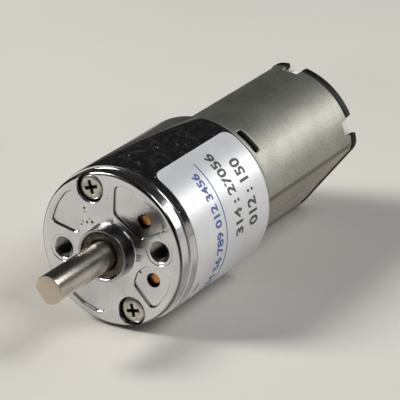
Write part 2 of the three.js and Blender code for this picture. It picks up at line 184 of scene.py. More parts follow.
def dress(piece, material, body, slot, *nodes, smooth=40, weighted=False):
    cleanMesh(piece, 1e-7)
    smoothEdges(piece, smooth)
    if weighted:
        applied(piece, "WEIGHTED_NORMAL", keep_sharp=True, weight=60)
    piece.data.materials.clear()
    piece.data.materials.append(material)
    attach(piece, body)
    if nodes:
        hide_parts(*nodes)
    return piece


def curved(start, corner, end, t):
    # a point on the short curve that cuts a corner
    return start * (1 - t) ** 2 + corner * 2 * t * (1 - t) + end * t ** 2


def roundedOutline(corners, radius, steps=5):
    # corner points of (x, z) with every corner rounded
    made = []
    count = len(corners)
    for i in range(count):
        here = Vector(corners[i])
        before = (Vector(corners[i - 1]) - here)
        after = (Vector(corners[(i + 1) % count]) - here)
        reach = min(radius, before.length * 0.45, after.length * 0.45)
        a, b = here + before.normalized() * reach, here + after.normalized() * reach
        for k in range(steps + 1):
            t = k / steps
            made.append(tuple(curved(a, here, b, t)))
    return made


# shader expressions

class Flow:
    # wraps a socket so that expressions on it become Math nodes
    def __init__(self, tree, socket):
        self.tree, self.socket = tree, socket

    def node(self, kind, settings=None, output=0, **inputs):
        made = self.tree.nodes.new(kind)
        for key, value in (settings or {}).items():
            if key == "stops":
                ramp = made.color_ramp
                while len(ramp.elements) < len(value):
                    ramp.elements.new(0.5)
                for element, (place, color) in zip(ramp.elements, value):
                    element.position = place
                    single = isinstance(color, (int, float))
                    element.color = (color, color, color, 1) if single else (*color, 1)
            else:
                setattr(made, key, value)
        for key, value in inputs.items():
            place = int(key[1:]) if key[0] == "i" and key[1:].isdigit() else key.replace("_", " ")
            target = made.inputs[place]
            if isinstance(value, Flow):
                self.tree.links.new(value.socket, target)
            else:
                target.default_value = value
        return Flow(self.tree, made.outputs[output])

    def math(self, operation, other=None):
        inputs = {"i0": self}
        if other is not None:
            inputs["i1"] = other
        return self.node("ShaderNodeMath", {"operation": operation}, **inputs)

    def __add__(self, other):
        return self.math("ADD", other)

    __radd__ = __add__

    def __mul__(self, other):
        return self.math("MULTIPLY", other)

    __rmul__ = __mul__

    def __sub__(self, other):
        return self.math("SUBTRACT", other)

    def __rsub__(self, other):
        return self.node("ShaderNodeMath", {"operation": "SUBTRACT"}, i0=other, i1=self)

    def __truediv__(self, other):
        return self.math("DIVIDE", other)

    def __pow__(self, other):
        return self.math("POWER", other)

    def span(self, low, high, toLow=0.0, toHigh=1.0):
        # eased step from low to high
        return self.node("ShaderNodeMapRange", {"interpolation_type": "SMOOTHSTEP", "clamp": True},
                         i0=self, i1=low, i2=high, i3=toLow, i4=toHigh)

    def tint(self, first, second):
        # self as a mask between two colours
        return self.node("ShaderNodeMix", {"data_type": "RGBA"}, output=2, i0=self,
                         i6=first if isinstance(first, Flow) else (*first, 1),
                         i7=second if isinstance(second, Flow) else (*second, 1))


class Surface:
    # one Principled material with its coordinates at hand
    def __init__(self, name, **fixed):
        self.material = bpy.data.materials.new(name)
        self.material.use_nodes = True
        self.tree = self.material.node_tree
        self.shader = self.tree.nodes["Principled BSDF"]
        for key, value in fixed.items():
            self.shader.inputs[key.replace("_", " ")].default_value = value
        start = Flow(self.tree, None)
        self.node = start.node
        coords = self.tree.nodes.new("ShaderNodeTexCoord")
        self.place = Flow(self.tree, coords.outputs["Object"])
        parts = self.tree.nodes.new("ShaderNodeSeparateXYZ")
        self.tree.links.new(coords.outputs["Object"], parts.inputs[0])
        self.x, self.y, self.z = [Flow(self.tree, parts.outputs[k]) / mm for k in range(3)]

    def noise(self, size, detail=3.0, roughness=0.5, stretch=(1, 1, 1)):
        # size is the grain in millimetres
        scaled = self.node("ShaderNodeVectorMath", {"operation": "MULTIPLY"}, i0=self.place,
                           i1=tuple(s / (size * mm) for s in stretch))
        return self.node("ShaderNodeTexNoise", {}, Vector=scaled, Scale=1.0, Detail=detail,
                         Roughness=roughness)

    def cells(self, size):
        scaled = self.node("ShaderNodeVectorMath", {"operation": "MULTIPLY"}, i0=self.place,
                           i1=(1 / (size * mm),) * 3)
        return self.node("ShaderNodeTexVoronoi", {}, Vector=scaled, Scale=1.0)

    def radius(self, x=0.0, z=0.0):
        return ((self.x - x) * (self.x - x) + (self.z - z) * (self.z - z)) ** 0.5

    def feed(self, **links):
        for key, value in links.items():
            self.tree.links.new(value.socket, self.shader.inputs[key.replace("_", " ")])
        return self

    def bump(self, height, depth):
        # height runs 0 to 1, depth is in millimetres
        made = self.node("ShaderNodeBump", {}, Height=height * depth * mm, Strength=1.0, Distance=1.0)
        self.tree.links.new(made.socket, self.shader.inputs["Normal"])
        return self


threadAt = [(8.5, 0.0), (-8.5, 0.0)]
pitSpots = [(-3.5, 6.5, 0.26), (-3.5, 5.9, 0.16), (-3.4, 4.25, 0.24), (-2.5, 4.3, 0.3),
            (-4.5, 3.9, 0.24), (-4.1, 4.4, 0.16), (-2.9, 4.8, 0.14), (4.4, -3.4, 0.26),
            (-5.3, -0.9, 0.1), (1.3, -6.9, 0.12), (0.9, 8.1, 0.1)]


def castPlateFinish():
    look = Surface("castPlateFinish", Metallic=1.0)
    peel = look.noise(1.1, 2)
    fine = look.noise(0.16, 3)
    cloud = look.noise(4.5, 3)
    speck = 1 - look.cells(0.5).span(0.05, 0.11)
    pit = speck * look.noise(1.6, 1).span(0.62, 0.68)
    for x, z, size in pitSpots:
        pit = pit.math("MAXIMUM", look.radius(x, z).span(size * 0.55, size, 1.0, 0.0))
    pit = pit * look.y.span(-0.05, 0.0)
    # painted shade: the bore and holes are darkened deeper than the face, and the plate's inside with them
    hole = look.y.span(0.45, 0.9) * look.radius().span(11.5, 11.6, 1.0, 0.0)
    striation = look.noise(0.3, 2, stretch=(1, 0.08, 1))
    boss = look.y.span(-0.3, -0.1, 1.0, 0.0)
    base = cloud.span(0.3, 0.7).tint((0.64, 0.64, 0.665), (0.75, 0.745, 0.765))
    base = (boss * (0.55 + striation.span(0.35, 0.7) * 0.35)).tint(base, (0.34, 0.335, 0.33))
    # painted dark reflection: the boss's right side and the face beside it are darkened in the colour to
    # stand in for the dark room they mirror
    shade = boss * (look.x * 0.87 + look.z * 0.5).span(0.4, 3.6) * 0.92
    faceDarkReflection = look.radius(5.0, 1.9).span(0.8, 3.6, 1.0, 0.0) * (1 - boss) * 0.8
    base = shade.math("MAXIMUM", faceDarkReflection).tint(base, (0.11, 0.108, 0.105))
    base = pit.tint(base, (0.07, 0.06, 0.05))
    # painted shade: the walls of the recesses in the face, away from the threaded holes, are darkened
    wall = look.y.span(0.05, 0.1) * look.y.span(0.37, 0.395, 1.0, 0.0)
    for x, z in threadAt:
        wall = wall * look.radius(x, z).span(2.3, 2.4)
    base = (wall * 0.8).tint(base, (0.09, 0.085, 0.08))
    base = (hole * 0.85).tint(base, (0.10, 0.09, 0.08))
    rough = 0.14 + cloud.span(0.25, 0.75) * 0.05 + fine * 0.05 + pit * 0.4 + boss * 0.05
    look.feed(Base_Color=base, Roughness=rough)
    look.bump(peel * 0.7 + fine * 0.11 - pit * 0.6, 0.03)
    return look.material


def tubeChromeFinish():
    look = Surface("tubeChromeFinish", Metallic=1.0)
    drawn = look.noise(0.35, 3, stretch=(1, 0.06, 1))
    cloud = look.noise(5, 3)
    dust = (1 - look.cells(0.6).span(0.04, 0.1)) * look.noise(1.8, 2).span(0.46, 0.58)
    dust = dust.math("MAXIMUM", (1 - look.cells(1.9).span(0.03, 0.06)))
    base = cloud.span(0.3, 0.7).tint((0.60, 0.59, 0.58), (0.68, 0.67, 0.65))
    base = (dust * 0.8).tint(base, (0.86, 0.84, 0.80))
    haze = look.noise(1.2, 4).span(0.45, 0.75)
    look.feed(Base_Color=base, Roughness=0.05 + drawn * 0.03 + dust * 0.45,
              Metallic=1 - dust * 0.9 - haze * 0.03)
    look.bump(drawn * 0.5 + look.noise(2.5, 2) * 0.6, 0.006)
    return look.material


def labelFinish():
    look = Surface("labelFinish", Metallic=0.35)
    grain = look.noise(0.12, 2)
    cloud = look.noise(6, 2)
    base = cloud.span(0.3, 0.7).tint((0.74, 0.745, 0.76), (0.80, 0.80, 0.81))
    base = (grain.span(0.55, 0.75) * 0.25).tint(base, (0.9, 0.9, 0.92))
    look.feed(Base_Color=base, Roughness=0.36 + grain * 0.08)
    look.bump(grain * 0.4 + look.noise(1.6, 2) * 0.6, 0.004)
    return look.material


def inkFinish(name, color):
    look = Surface(name)
    wear = look.noise(0.22, 3).span(0.3, 0.75)
    base = wear.tint(color, tuple(c * 0.7 + 0.07 for c in color))
    look.feed(Base_Color=base, Roughness=0.42 + wear * 0.15)
    look.bump(look.noise(0.1, 2), 0.003)
    return look.material


def canFinish():
    look = Surface("canFinish", Metallic=1.0)
    grain = look.noise(0.13, 3)
    crystal = look.cells(0.32)
    cloud = look.noise(5.5, 3)
    draw = look.noise(0.5, 3, stretch=(1, 0.05, 1))
    rim = look.y.span(54.1, 54.35)
    streak = look.noise(0.9, 4, stretch=(1, 0.12, 1)).span(0.5, 0.7)
    across = look.x * math.cos(math.radians(132)) + look.z * math.sin(math.radians(132))
    under = across.span(-9.15, -9.0, 1.0, 0.0)
    base = cloud.span(0.28, 0.72).tint((0.28, 0.285, 0.245), (0.37, 0.37, 0.33))
    base = (crystal.span(0.2, 0.7) * 0.35).tint(base, (0.50, 0.495, 0.45))
    # painted reflection: the lower flat is made paler and warmer to stand in for the table it mirrors; the
    # darker streaks on it are the metal's own marks
    base = (under * 0.75).tint(base, (0.56, 0.51, 0.44))
    base = (under * streak * 0.6).tint(base, (0.24, 0.18, 0.12))
    # painted shade: a dark line runs along the edge where the round side meets the lower flat
    crease = across.span(-9.12, -8.95) * across.span(-8.75, -8.5, 1.0, 0.0)
    base = (crease * 0.6).tint(base, (0.13, 0.12, 0.10))
    # painted dark reflection: the crimped band at the open end is made near black
    base = rim.tint(base, (0.03, 0.03, 0.027))
    look.feed(Base_Color=base, Roughness=0.39 + grain * 0.14 + draw * 0.06 + rim * 0.06)
    look.bump(grain * 0.6 + draw * 0.25 + crystal * 0.15, 0.012)
    return look.material


def shaftFinish():
    look = Surface("shaftFinish", Metallic=1.0)
    rings = look.noise(0.22, 2, stretch=(0.02, 1, 0.02))
    cloud = look.noise(2.2, 4)
    face = look.y.span(-16.98, -16.85, 1.0, 0.0)
    turned = (look.radius() * 14.0).math("SINE") * 0.5 + 0.5
    stain = look.y.span(-6, -1) * cloud.span(0.35, 0.65)
    base = cloud.span(0.3, 0.7).tint((0.50, 0.455, 0.395), (0.62, 0.575, 0.51))
    base = (stain * 0.5).tint(base, (0.25, 0.20, 0.15))
    faceTone = (turned * 0.25 + cloud * 0.75).tint((0.56, 0.475, 0.39), (0.64, 0.55, 0.46))
    base = face.tint(base, faceTone)
    look.feed(Base_Color=base, Roughness=0.2 + rings * 0.1 + face * 0.22 + stain * 0.12)
    look.bump(rings * (1 - face) * 0.5 + turned * face * 0.2, 0.01)
    return look.material


caseScrewAt = [polar(9.85, 101.3), polar(9.85, 281.3)]


def screwFinish():
    look = Surface("screwFinish", Metallic=1.0)
    grain = look.noise(0.12, 3)
    dirt = look.noise(0.6, 3).span(0.4, 0.7)
    near = [look.radius(x, z).span(1.5, 1.62, 1.0, 0.0) for x, z in caseScrewAt]
    # painted shade: the cross recess in each head is darkened
    recess = near[0].math("MAXIMUM", near[1]) * look.y.span(0.36, 0.5)
    base = dirt.tint((0.58, 0.55, 0.50), (0.42, 0.39, 0.34))
    base = (recess * 0.9).tint(base, (0.045, 0.038, 0.03))
    look.feed(Base_Color=base, Roughness=0.24 + dirt * 0.15 + grain * 0.08 + recess * 0.2)
    look.bump(grain, 0.01)
    return look.material


def brassFinish(name="brassFinish", color=(0.78, 0.33, 0.09)):
    look = Surface(name, Metallic=1.0)
    grain = look.noise(0.2, 3)
    base = look.noise(0.7, 3).span(0.3, 0.7).tint(color, tuple(c * 0.62 for c in color))
    look.feed(Base_Color=base, Roughness=0.3 + grain * 0.15)
    look.bump(grain, 0.01)
    return look.material


def bushFinish():
    look = Surface("bushFinish", Metallic=0.85)
    pores = look.cells(0.14).span(0.1, 0.4)
    oil = look.noise(1.1, 4).span(0.35, 0.65)
    base = oil.tint((0.12, 0.098, 0.072), (0.055, 0.046, 0.036))
    base = (1 - pores).tint(base, (0.04, 0.032, 0.025))
    lip = look.radius().span(3.5, 3.62) * look.y.span(-2.1, -1.9, 1.0, 0.0)
    base = (lip * 0.8).tint(base, (0.62, 0.60, 0.57))
    look.feed(Base_Color=base, Roughness=0.38 - oil * 0.16)
    look.bump(pores * 0.6 + oil * 0.4, 0.02)
    return look.material


def plainMetalFinish(name, color, rough):
    look = Surface(name, Metallic=1.0)
    grain = look.noise(0.25, 3)
    cloud = look.noise(2.5, 3)
    base = cloud.span(0.3, 0.7).tint(color, tuple(c * 0.75 for c in color))
    look.feed(Base_Color=base, Roughness=rough + grain * 0.12)
    look.bump(grain, 0.01)
    return look.material


def mouldedFinish(name, color, rough=0.5):
    look = Surface(name)
    grain = look.noise(0.3, 3)
    cloud = look.noise(3, 3)
    base = cloud.span(0.3, 0.7).tint(color, tuple(c * 0.86 for c in color))
    look.feed(Base_Color=base, Roughness=rough + grain * 0.12)
    look.bump(grain, 0.012)
    return look.material


finishes = {
    "plate": castPlateFinish(),
    "chrome": tubeChromeFinish(),
    "label": labelFinish(),
    "screw": screwFinish(),
    "brass": brassFinish(),
    "bronze": bushFinish(),
    "steel": plainMetalFinish("groundSteelFinish", (0.56, 0.53, 0.49), 0.25),
    "gear_steel": plainMetalFinish("hobbedSteelFinish", (0.42, 0.41, 0.39), 0.32),
    "can": canFinish(),
    "nylon": mouldedFinish("nylonFinish", (0.80, 0.77, 0.69)),
    "copper": plainMetalFinish("copperFinish", (0.62, 0.30, 0.15), 0.28),
    "lamination": plainMetalFinish("laminationFinish", (0.22, 0.21, 0.20), 0.45),
    "ferrite": mouldedFinish("ferriteFinish", (0.06, 0.058, 0.056), 0.65),
    "carbon": mouldedFinish("carbonFinish", (0.03, 0.03, 0.03), 0.6),
}
shaftSteel = shaftFinish()
threadSteel = plainMetalFinish("cutThreadFinish", (0.34, 0.32, 0.30), 0.16)
print("finishes made")


# camera, floor and light

cameraSettings = {"place": (0.2224, -0.3140, 0.1255), "lens": 245.7,
                  "right": (0.85182, 0.50364, -0.14402), "up": (-0.03489, 0.32887, 0.94373),
                  "back": (0.52266, -0.79887, 0.29771)}


def makeCamera():
    data = bpy.data.cameras.new("viewCamera")
    camera = bpy.data.objects.new("viewCamera", data)
    bpy.context.scene.collection.objects.link(camera)
    columns = [Vector(cameraSettings[k]).normalized() for k in ("right", "up", "back")]
    matrix = Matrix.Identity(4)
    for c, column in enumerate(columns):
        for r in range(3):
            matrix[r][c] = column[r]
    matrix.translation = Vector(cameraSettings["place"])
    camera.matrix_world = matrix
    data.lens = cameraSettings["lens"]
    data.sensor_width = 36
    data.clip_start, data.clip_end = 0.01, 10
    bpy.context.scene.camera = camera


stageSettings = {"tilt": 9.6, "drop": 12.62, "wide": 3.0, "color": (0.575, 0.555, 0.515), "dim": 0.93}


def makeFloor():
    deselectAll()
    bpy.ops.mesh.primitive_grid_add(x_subdivisions=12, y_subdivisions=12, size=stageSettings["wide"])
    floor = bpy.context.active_object
    floor.name = "tableTop"
    tilt = math.radians(stageSettings["tilt"])
    up = Vector((math.sin(tilt), 0, math.cos(tilt)))
    turned = Matrix.Rotation(tilt, 4, "Y")
    floor.data.transform(Matrix.Translation(up * -stageSettings["drop"] * mm) @ turned)
    look = Surface("tableTopFinish")
    cloud = look.noise(60, 2)
    tone = stageSettings["color"]
    base = cloud.span(0.3, 0.7).tint(tone, tuple(c * 0.96 for c in tone))
    # mirrored in the metal, the far table falls off into the dark room
    glossy = look.node("ShaderNodeLightPath", output=3)
    far = look.y.span(60, 115) * look.x.span(0, 60, 1.0, 0.0)
    far = far.math("MAXIMUM", look.x.span(10, 50) * look.y.span(-12, 6, 1.0, 0.0))
    base = (glossy * far * stageSettings["dim"]).tint(base, (0.02, 0.02, 0.02))
    look.feed(Base_Color=base, Roughness=0.75 + cloud * 0.05)
    floor.data.materials.append(look.material)
    return up


def addLamp(name, place, target, size, power, color=(1, 1, 1)):
    data = bpy.data.lights.new(name, "AREA")
    data.shape = "RECTANGLE"
    data.size, data.size_y = size
    data.energy = power
    data.color = color
    lamp = bpy.data.objects.new(name, data)
    bpy.context.scene.collection.objects.link(lamp)
    place, target = Vector(place), Vector(target)
    lamp.location = place
    lamp.rotation_mode = "QUATERNION"
    lamp.rotation_quaternion = (target - place).to_track_quat("-Z", "Y")
    return lamp


lampSettings = {
    "keyLamp": ((-0.55, -0.35, 0.75), (0, 0.01, 0), (0.35, 0.35), 11.2, (1.0, 0.985, 0.95)),
    "fillLamp": ((0.85, 0.1, 0.8), (0, 0.02, 0), (0.5, 0.5), 7.0, (0.95, 0.97, 1.0)),
    "backLamp": ((0.55, 0.80, 0.25), (0, 0.02, 0), (0.42, 0.3), 2.3, (1.0, 0.99, 0.97)),
}


def makeLight():
    for name, setting in lampSettings.items():
        addLamp(name, *setting)
    world = bpy.data.worlds.new("studioWorld")
    bpy.context.scene.world = world
    world.use_nodes = True
    tree = world.node_tree
    background = tree.nodes["Background"]
    flow = Flow(tree, None)
    coords = tree.nodes.new("ShaderNodeTexCoord")
    parts = tree.nodes.new("ShaderNodeSeparateXYZ")
    tree.links.new(coords.outputs["Generated"], parts.inputs[0])
    height = Flow(tree, parts.outputs[2])
    high = height.span(0.0, 0.16)
    # the front right of the room is dark
    right, ahead = Flow(tree, parts.outputs[0]), Flow(tree, parts.outputs[1])
    corner = right.span(0.0, 0.25) * ahead.span(-0.3, 0.0, 1.0, 0.0)
    color = high.math("MAXIMUM", corner).tint((0.42, 0.41, 0.40), (0.016, 0.016, 0.017))
    tree.links.new(color.socket, background.inputs["Color"])
    background.inputs["Strength"].default_value = 1.0


makeCamera()
makeFloor()
makeLight()
bpy.context.scene.view_settings.view_transform = "Standard"
print("stage set")


# the gearbox's outside

plateSettings = {"band": 12.2, "step": 2.5, "thick": 4.0, "register": 11.65, "boss": 4.2, "bossHigh": 2.6,
                 "bore": 3.7}
pocketProfile = [(-0.3, 0.19), (0.0, 0.19), (0.015, 0.11), (0.055, 0.045), (0.12, 0.0), (0.33, -0.02),
                 (0.38, -0.06), (0.4, -0.16)]
dowelAt = [(6.45, 4.6), (6.45, -4.6)]
pocketOutlines = [
    [(2.4, 9.9), (1.6, 6.1), (1.8, 5.4), (5.3, 2.2), (5.8, 1.9), (9.3, 3.1), (9.8, 4.2), (8.3, 6.8),
     (6.3, 8.7), (4.1, 10.1)],
    [(-6.6, 8.8), (-8.4, 6.9), (-9.7, 4.6), (-9.3, 4.0), (-5.9, 2.6), (-5.2, 2.7), (-4.0, 5.2),
     (-3.8, 6.6), (-4.3, 8.5), (-5.2, 9.2)],
    [(3.0, -5.2), (4.1, -3.2), (5.6, -2.4), (6.4, -2.35), (9.3, -3.4), (9.6, -4.5), (8.6, -6.5),
     (7.0, -8.2), (6.1, -8.8), (5.3, -8.7)],
    [(-1.6, -5.9), (-2.3, -9.0), (-3.0, -9.9), (-4.3, -10.0), (-6.4, -8.9), (-8.3, -7.2),
     (-9.4, -4.6), (-9.1, -3.8), (-5.8, -2.5), (-5.0, -2.8), (-2.1, -5.2)],
]


def frontPlate():
    s = plateSettings
    plate = spunPiece("frontPlate", [
        (s["bore"], -s["bossHigh"] + 0.12), (s["bore"] + 0.12, -s["bossHigh"]),
        (s["boss"] - 0.2, -s["bossHigh"]),
        (s["boss"] - 0.05, -s["bossHigh"] + 0.06), (s["boss"], -s["bossHigh"] + 0.2), (s["boss"], -0.35),
        (s["boss"] + 0.1, -0.1), (s["boss"] + 0.35, 0), (s["band"] - 0.62, 0), (s["band"] - 0.36, 0.05),
        (s["band"] - 0.14, 0.19), (s["band"] - 0.03, 0.4), (s["band"], 0.65), (s["band"], s["step"] - 0.12),
        (s["band"] - 0.1, s["step"] - 0.01), (s["register"], s["step"]), (s["register"], s["thick"]),
        (s["bore"], s["thick"]),
    ], 144)
    cutters = [flaredSlab("pocketCut", roundedOutline(outline, 0.7),
    pocketProfile) for outline in pocketOutlines]
    for at in caseScrewAt:
        cutters.append(spunPiece("seatCut", [
            (0, -1), (2.42, -1), (2.42, 0), (2.34, 0.03), (2.27, 0.12), (2.25, 0.3), (2.25, 2.2),
            (1.02, 2.2), (1.02, 5),
            (0, 5)], 64, at))
    for at in threadAt:
        cutters.append(spunPiece("threadCut", [
            (0, -1), (2.24, -1), (2.24, 0), (2.18, 0.03), (2.14, 0.1), (2.05, 0.12), (1.72, 0.12),
            (1.58, 0.26), (1.58, 5),
            (0, 5)], 64, at))
    for at in dowelAt:
        cutters.append(spunPiece("dowelCut", [
            (0, -1), (1.3, -1), (1.3, 0), (1.22, 0.03), (1.17, 0.12), (1.15, 0.3), (1.15, 1.5),
            (0.9, 1.5), (0.9, 5),
            (0, 5)], 48, at))
    cutWith(plate, cutters)
    dress(plate, finishes["plate"], "housing", "plate", "front_plate", smooth=42, weighted=True)


threadSettings = {"root": 1.62, "crest": 1.26, "pitch": 0.5, "turns": 7, "steps": 28}


def threadInHole(index):
    # a helical ridge of 0.5 mm pitch stands inside each mounting hole
    s = threadSettings
    x, z = threadAt[index]
    profile = [(s["root"], 0.02), (s["crest"], 0.22), (s["crest"], 0.28), (s["root"], 0.48)]
    ridge = loopPiece("mountThread" + str(index + 1), [(x + radius, y, z) for radius, y in profile])
    pick(ridge)
    modifier = ridge.modifiers.new("screw", "SCREW")
    modifier.axis = "Y"
    modifier.screw_offset = s["pitch"] * mm
    modifier.iterations = s["turns"]
    modifier.steps = modifier.render_steps = s["steps"]
    modifier.use_merge_vertices = False
    holder = bpy.data.objects.new("threadAxis", None)
    bpy.context.scene.collection.objects.link(holder)
    holder.location = (x * mm, 0, z * mm)
    bpy.context.view_layer.update()
    modifier.object = holder
    bpy.ops.object.modifier_apply(modifier=modifier.name)
    bpy.data.objects.remove(holder)
    editAll(ridge)
    bpy.ops.mesh.select_all(action="DESELECT")
    bpy.ops.mesh.select_mode(type="EDGE")
    bpy.ops.mesh.select_non_manifold()
    bpy.ops.mesh.edge_face_add()
    leaveEdit()
    dress(ridge, threadSteel, "housing", "plate")


tubeSettings = {"inner": 11.7, "outer": 12.5, "front": 2.5, "back": 26.2, "edge": 0.12}


def caseTube():
    s = tubeSettings
    r, front, back, edge = s["outer"], s["front"], s["back"], s["edge"]
    tube = spunPiece("gearCaseTube", [
        (s["inner"], front), (r - edge, front), (r - 0.03, front + 0.04), (r, front + 0.14),
        (r, back - 0.15), (r - 0.04, back - 0.05), (r - edge, back), (s["inner"], back),
    ], 144)
    dress(tube, finishes["chrome"], "housing", "chrome", "gear_case_tube")


labelSettings = {"start": 57.5, "end": -162.5, "low": 4.1, "high": 25.7, "corner": 1.7, "inner": 12.502,
                 "thick": 0.06}


def wrapped(piece, radius):
    # x is the way round in millimetres, y along the axis, z the height above the radius
    for vertex in piece.data.vertices:
        round_, along, up = [c / mm for c in vertex.co]
        a = round_ / 12.5
        vertex.co = Vector(((radius + up) * math.cos(a), along, (radius + up) * math.sin(a))) * mm
    return piece


def curvedStrip(name, start, end, low, high, radius, thick, corner=0.0, across=14):
    # a thin sheet wrapped on the tube between two angles
    long = math.radians(start - end) * 12.5
    steps = max(8, int((start - end) / 1.4))
    deselectAll()
    bpy.ops.mesh.primitive_grid_add(x_subdivisions=steps, y_subdivisions=across, size=2)
    piece = bpy.context.active_object
    piece.name = name
    middle, half = (low + high) / 2, (high - low) / 2
    turnMiddle = math.radians((start + end) / 2) * 12.5
    for vertex in piece.data.vertices:
        u, v = vertex.co.x, vertex.co.y
        x = u * long / 2
        near = long / 2 - abs(x)
        if corner and near < corner:
            near = corner * (near / corner) ** 1.6
            x = math.copysign(long / 2 - near, x)
            room = half - corner + math.sqrt(max(0, corner ** 2 - (corner - near) ** 2))
        else:
            room = half
        vertex.co = Vector(((x + turnMiddle) * mm, (middle + v * room) * mm, 0))
    editAll(piece)
    bpy.ops.mesh.extrude_region_move(TRANSFORM_OT_translate={"value": (0, 0, thick * mm)})
    leaveEdit()
    wrapped(piece, radius)
    return piece


def ratingLabel():
    s = labelSettings
    label = curvedStrip("ratingLabel", s["start"], s["end"], s["low"], s["high"], s["inner"], s["thick"],
                        s["corner"])
    dress(label, finishes["label"], "housing", "label", "rating_label", smooth=60)


printSettings = {"height": 12.562, "thick": 0.02}
inks = {"blue": inkFinish("blueInk", (0.03, 0.10, 0.38)),
        "black": inkFinish("blackInk", (0.035, 0.035, 0.04)),
        "red": inkFinish("redInk", (0.55, 0.08, 0.10))}


def printedRule(name, start, end, low, high, ink):
    height, thick = printSettings["height"], printSettings["thick"]
    rule = curvedStrip(name, start, end, low, high, height, thick, across=2)
    dress(rule, inks[ink], "housing", "label", smooth=60)


def printedRow(name, text, start, end, low, high, ink):
    # plain digits that run round the tube from end to start, tops towards the front
    deselectAll()
    bpy.ops.object.text_add()
    row = bpy.context.active_object
    row.name = name
    row.data.body = text
    row.data.extrude = 0.0
    row.data.offset = 0.03
    row.data.resolution_u = 4
    bpy.context.view_layer.update()
    pick(row)
    bpy.ops.object.convert(target="MESH")
    row = bpy.context.active_object
    xs = [v.co.x for v in row.data.vertices]
    ys = [v.co.y for v in row.data.vertices]
    x0, x1, y0, y1 = min(xs), max(xs), min(ys), max(ys)
    a0, a1 = math.radians(end) * 12.5, math.radians(start) * 12.5
    for vertex in row.data.vertices:
        u, v = (vertex.co.x - x0) / (x1 - x0), (vertex.co.y - y0) / (y1 - y0)
        vertex.co = Vector((a0 + u * (a1 - a0), high - v * (high - low), 0)) * mm
    editAll(row)
    bpy.ops.mesh.extrude_region_move(TRANSFORM_OT_translate={"value": (0, 0, printSettings["thick"] * mm)})
    leaveEdit()
    wrapped(row, printSettings["height"])
    dress(row, inks[ink], "housing", "label", smooth=30)


def printing():
    printedRule("blueRule", 48, -62, 12.72, 12.94, "blue")
    printedRow("blueDigits", "1234 56 789 012 3456", 42, -56, 9.9, 11.75, "blue")
    printedRow("blackDigitsWide", "314 : 27056", 49, -14, 15.6, 17.8, "black")
    printedRow("blackDigitsShort", "012 : 150", 37, -13, 19.6, 22.1, "black")
    printedRule("blueMark", -34, -42, 6.0, 6.4, "blue")
    printedRule("redRule", -47, -68, 5.95, 6.4, "red")


screwSettings = {"top": 0.3, "head": 2.08, "seat": 2.2}


def crossCut(x, z, turned, top):
    # tapered four-armed recess
    arms = []
    for extra, deep in ((0, 1.2), (90, 1.14)):
        arm = blockPiece("crossArm", (-1.34, top - 0.25 - deep * 0.1, -0.33), (1.34, top + deep, 0.33))
        for vertex in arm.data.vertices:
            if vertex.co.y > (top + 0.2) * mm:
                vertex.co.x *= 0.42
                vertex.co.z *= 0.5
        spinPiece(arm, turned + extra)
        arm.data.transform(Matrix.Translation((x * mm, 0, z * mm)))
        arms.append(arm)
    return arms


def caseScrew(index, turned):
    s = screwSettings
    at = caseScrewAt[index]
    top = s["top"]
    screw = spunPiece("caseScrew" + str(index + 1), [
        (0, top), (0.9, top + 0.01), (1.45, top + 0.04), (1.75, top + 0.12), (1.95, top + 0.26),
        (2.05, top + 0.46),
        (s["head"], top + 0.7), (s["head"], s["seat"] - 0.06), (s["head"] - 0.06, s["seat"]),
        (0.95, s["seat"]), (0.95, 25.6), (0, 25.6),
    ], 64, at)
    cutWith(screw, crossCut(at[0], at[1], turned, top))
    cleanMesh(screw, 5e-6)
    bevelled(screw, 0.03, 2, 50)
    dress(screw, finishes["screw"], "housing", "screw", "case_screw_" + str(index + 1), smooth=32)


dowelSettings = {"radius": 0.85, "top": 1.0, "end": 24.8}


def dowelEnd(index):
    at = dowelAt[index]
    r, top, end = [dowelSettings[k] for k in ("radius", "top", "end")]
    pin = spunPiece("dowelPin" + str(index + 1), [
        (0, top), (0.6, top), (0.78, top + 0.08), (r, top + 0.28), (r, end - 0.1), (0.75, end),
        (0, end)], 40, at)
    dress(pin, finishes["brass"], "housing", "brass", "dowel_pin_" + str(index + 1))


def outputBush():
    bush = spunPiece("outputBush", [
        (2.62, -2.3), (3.45, -2.3), (3.6, -2.2), (3.65, -2.0), (3.65, 4.4), (2.29, 4.4), (2.29, -1.9),
        (2.36, -2.04)], 96)
    dress(bush, finishes["bronze"], "housing", "bronze", "output_bush")


shaftSettings = {"radius": 2.25, "tip": -17.0, "flat": 1.58, "flatTurn": 208.6, "flatEnd": -7.0}


def outputShaft():
    s = shaftSettings
    r, tip = s["radius"], s["tip"]
    shaft = spunPiece("outputShaft", [
        (0, tip), (r - 0.28, tip), (r - 0.1, tip + 0.08), (r, tip + 0.26), (r, 8.7), (1.85, 8.7),
        (1.85, 9.1), (1.25, 9.1), (1.25, 10.3), (1.15, 10.4), (0, 10.4),
    ], 96)
    flat = blockPiece("flatCut", (s["flat"], tip - 1, -4), (5, s["flatEnd"], 4))
    cutWith(shaft, [spinPiece(flat, s["flatTurn"])])
    bevelled(shaft, 0.05, 2, 40)
    dress(shaft, shaftSteel, "output", "steel", "output_shaft", smooth=30)


frontPlate()
for hole in range(2):
    threadInHole(hole)
caseTube()
ratingLabel()
printing()
caseScrew(0, 8)
caseScrew(1, 3)
for pin in range(2):
    dowelEnd(pin)
outputBush()
outputShaft()
print("gearbox outside done")


# the motor's outside

canSettings = {"radius": 12.1, "across": 9.2, "turn": 42.0, "front": 26.2, "end": 56.0,
               "wall": 0.8, "edge": 1.0, "soft": 4.0}


